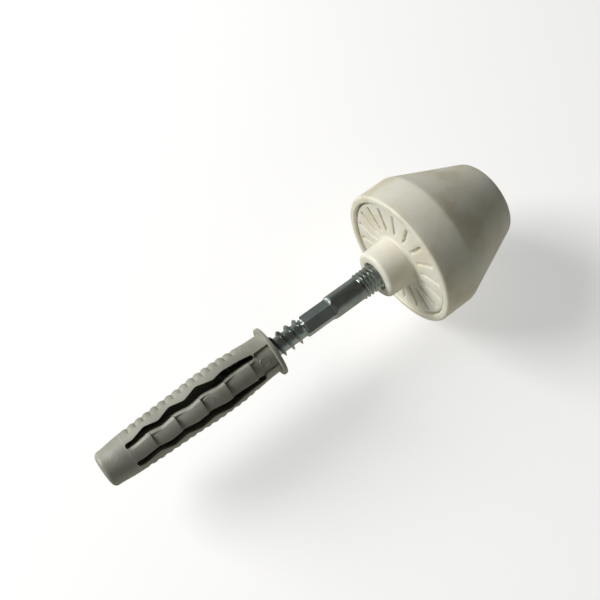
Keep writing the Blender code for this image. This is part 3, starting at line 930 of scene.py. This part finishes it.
def build_cap():
    """The hollow cap with its core tube and the dimple in its closed end."""
    run = END_X - KINK_X
    slope = hypot(run, RIM_RADIUS - END_RADIUS) / run
    inner_end = END_X - WALL
    dimple_x = END_X - DIMPLE_DEPTH
    dimple_rim, dimple_foot = DIMPLE_RADII
    inner_radius = END_RADIUS + (RIM_RADIUS - END_RADIUS) * WALL / run - WALL * slope
    corners = (
        (RIM_X, MOUTH_RADIUS, MOUTH_ROUND), (RIM_X, RIM_RADIUS, RIM_ROUND),
        (KINK_X, RIM_RADIUS, KINK_ROUND), (END_X, END_RADIUS, END_ROUND),
        (END_X, dimple_rim, 0.3), (dimple_x, dimple_foot, 0.3), (dimple_x, 0.0, 0.0),
        (inner_end, 0.0, 0.0), (inner_end, CORE_BORE_RADIUS, 0.0),
        (NUT_START_X, CORE_BORE_RADIUS, 0.0), (NUT_START_X, CORE_RADIUS, 0.3),
        (inner_end, CORE_RADIUS, 0.5), (inner_end, inner_radius, 0.8),
        (KINK_X - WALL / 4, MOUTH_RADIUS, 2.0),
    )
    bm = turned(rounded(corners, 8), CAP_SECTORS)
    finish_piece("cone_cap_shell", bm, ivory_plastic, "cap", "cone_cap", 30)


def build_nut():
    """The captive nut, with its chamfered corners, inside the cap."""
    bm = bmesh.new()
    _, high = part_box("captive_nut")
    corner = max(high.y, high.z) / MM
    apothem = corner * cos(pi / NUT_SIDES)
    outline = (
        (NUT_START_X, NUT_BORE_RADIUS), (NUT_START_X, apothem), (NUT_START_X + NUT_CHAMFER, corner),
        (NUT_END_X - NUT_CHAMFER, corner), (NUT_END_X, apothem), (NUT_END_X, NUT_BORE_RADIUS),
    )

    def point_of(row, column):
        x, radius = outline[row]
        angle = 360.0 * column / NUT_SECTORS
        from_flat = (angle % 60.0) - 30.0
        return place(x, min(radius, apothem / cos(radians(from_flat))), angle)

    grid = vertex_grid(bm, len(outline), NUT_SECTORS, point_of)
    sheet_faces(bm, grid + grid[:1])
    tidy(bm)
    finish_piece("captive_nut_body", bm, nut_steel, "cap", "captive_nut", 25)


# ---------------------------------------------------------------- studio

FLOOR_GAP = 0.2
FLOOR_GLOW = 0.45
FLOOR_RADIUS = 3.0
FLOOR_TONES = ((0.80, 0.80, 0.80), (0.82, 0.82, 0.82))
CAMERA_PLACE = (-33.69, -56.26, 188.56)
CAMERA_AZIMUTH = -37.54
CAMERA_ELEVATION = 67.02
CAMERA_LENS = 44.0
SENSOR_WIDTH = 36.0
CLIP_START = 0.005
CLIP_END = 20.0
LIT_CENTRE = (12.0, 0.0, 0.0)
KEY_DIRECTION = (-0.58, 0.66, 0.5)
KEY_COLOUR = (1.0, 0.99, 0.97)
BOUNCE_DIRECTION = (0.1, -0.8, -0.55)
BOUNCE_COLOUR = (1.0, 0.94, 0.78)
WORLD_STOPS = (
    (0.0, (0.34, 0.33, 0.28)), (0.42, (0.32, 0.31, 0.27)), (0.5, (0.28, 0.285, 0.275)),
    (0.55, (0.27, 0.28, 0.275)), (0.62, (0.2, 0.215, 0.21)), (0.7, (0.14, 0.15, 0.145)),
    (0.82, (0.085, 0.083, 0.075)), (1.0, (0.075, 0.07, 0.06)),
)


def view_axes(azimuth, elevation):
    """Right, up and back directions of a level camera."""
    turn, lift = radians(azimuth), radians(elevation)
    back = Vector((sin(turn) * cos(lift), -cos(turn) * cos(lift), sin(lift)))
    right = Vector((cos(turn), sin(turn), 0.0))
    return right, back.cross(right), back


def build_camera():
    right, up, back = view_axes(CAMERA_AZIMUTH, CAMERA_ELEVATION)
    data = bpy.data.cameras.new("photo_camera")
    data.sensor_width = SENSOR_WIDTH
    data.lens = CAMERA_LENS
    data.clip_start = CLIP_START
    data.clip_end = CLIP_END
    camera = bpy.data.objects.new("photo_camera", data)
    bpy.context.scene.collection.objects.link(camera)
    turn = Matrix((right, up, back)).transposed().to_4x4()
    camera.matrix_world = Matrix.Translation(Vector(CAMERA_PLACE) * MM) @ turn
    bpy.context.scene.camera = camera


def build_floor():
    nodes = Nodes("floor_paint")
    tone = nodes.ramp(nodes.noise(6.0, 2.0), list(zip(NOISE_SPREAD, FLOOR_TONES)))
    nodes.join(tone, nodes.shader.inputs["Base Color"])
    nodes.shader.inputs["Roughness"].default_value = 0.9
    nodes.shader.inputs["Specular IOR Level"].default_value = 0.1
    nodes.shader.inputs["Emission Color"].default_value = (1.0, 1.0, 1.0, 1.0)
    nodes.shader.inputs["Emission Strength"].default_value = FLOOR_GLOW
    bm = bmesh.new()
    bmesh.ops.create_circle(bm, cap_ends=True, segments=64, radius=FLOOR_RADIUS)
    mesh = bpy.data.meshes.new("floor")
    bm.to_mesh(mesh)
    bm.free()
    mesh.materials.append(nodes.material)
    floor = bpy.data.objects.new("floor", mesh)
    floor.location = (0.0, 0.0, (-RIM_RADIUS - FLOOR_GAP) * MM)
    floor.visible_diffuse = False
    floor.visible_glossy = False
    floor.visible_shadow = False
    bpy.context.scene.collection.objects.link(floor)


def area_light(name, direction, distance, size, power, colour, mirrored):
    """A square soft light that faces the anchor. mirrored says whether the metal shows it."""
    data = bpy.data.lights.new(name, "AREA")
    data.shape = "SQUARE"
    data.size = size
    data.energy = power
    data.color = colour
    light = bpy.data.objects.new(name, data)
    towards = Vector(direction).normalized()
    light.location = Vector(LIT_CENTRE) * MM + towards * distance
    light.rotation_euler = towards.to_track_quat("Z", "Y").to_euler()
    light.visible_glossy = mirrored
    bpy.context.scene.collection.objects.link(light)


def build_world():
    """A dim room: dark overhead, brighter along the horizon, and a soft bounce from below."""
    world = bpy.data.worlds.new("studio")
    world.use_nodes = True
    tree = world.node_tree
    direction = tree.nodes.new("ShaderNodeTexCoord").outputs["Generated"]
    split = tree.nodes.new("ShaderNodeSeparateXYZ")
    height = tree.nodes.new("ShaderNodeMapRange")
    height.inputs["From Min"].default_value = -1.0
    ramp = tree.nodes.new("ShaderNodeValToRGB")
    tree.links.new(direction, split.inputs["Vector"])
    tree.links.new(split.outputs["Z"], height.inputs["Value"])
    tree.links.new(height.outputs["Result"], ramp.inputs["Fac"])
    tree.links.new(ramp.outputs["Color"], tree.nodes["Background"].inputs["Color"])
    elements = ramp.color_ramp.elements
    while len(elements) < len(WORLD_STOPS):
        elements.new(0.5)
    for element, (position, colour) in zip(elements, WORLD_STOPS):
        element.position = position
        element.color = (*colour, 1.0)
    bpy.context.scene.world = world


def build_light():
    area_light("key", KEY_DIRECTION, 0.9, 0.5, 9.0, KEY_COLOUR, mirrored=True)
    area_light("bounce", BOUNCE_DIRECTION, 0.9, 1.0, 1.5, BOUNCE_COLOUR, mirrored=False)
    build_world()
    bpy.context.scene.view_settings.view_transform = "Standard"


build_plug()
build_slot_webs()
build_ejector_marks()
build_bolt()
build_disc()
build_cap()
build_nut()
build_floor()
build_light()
build_camera()
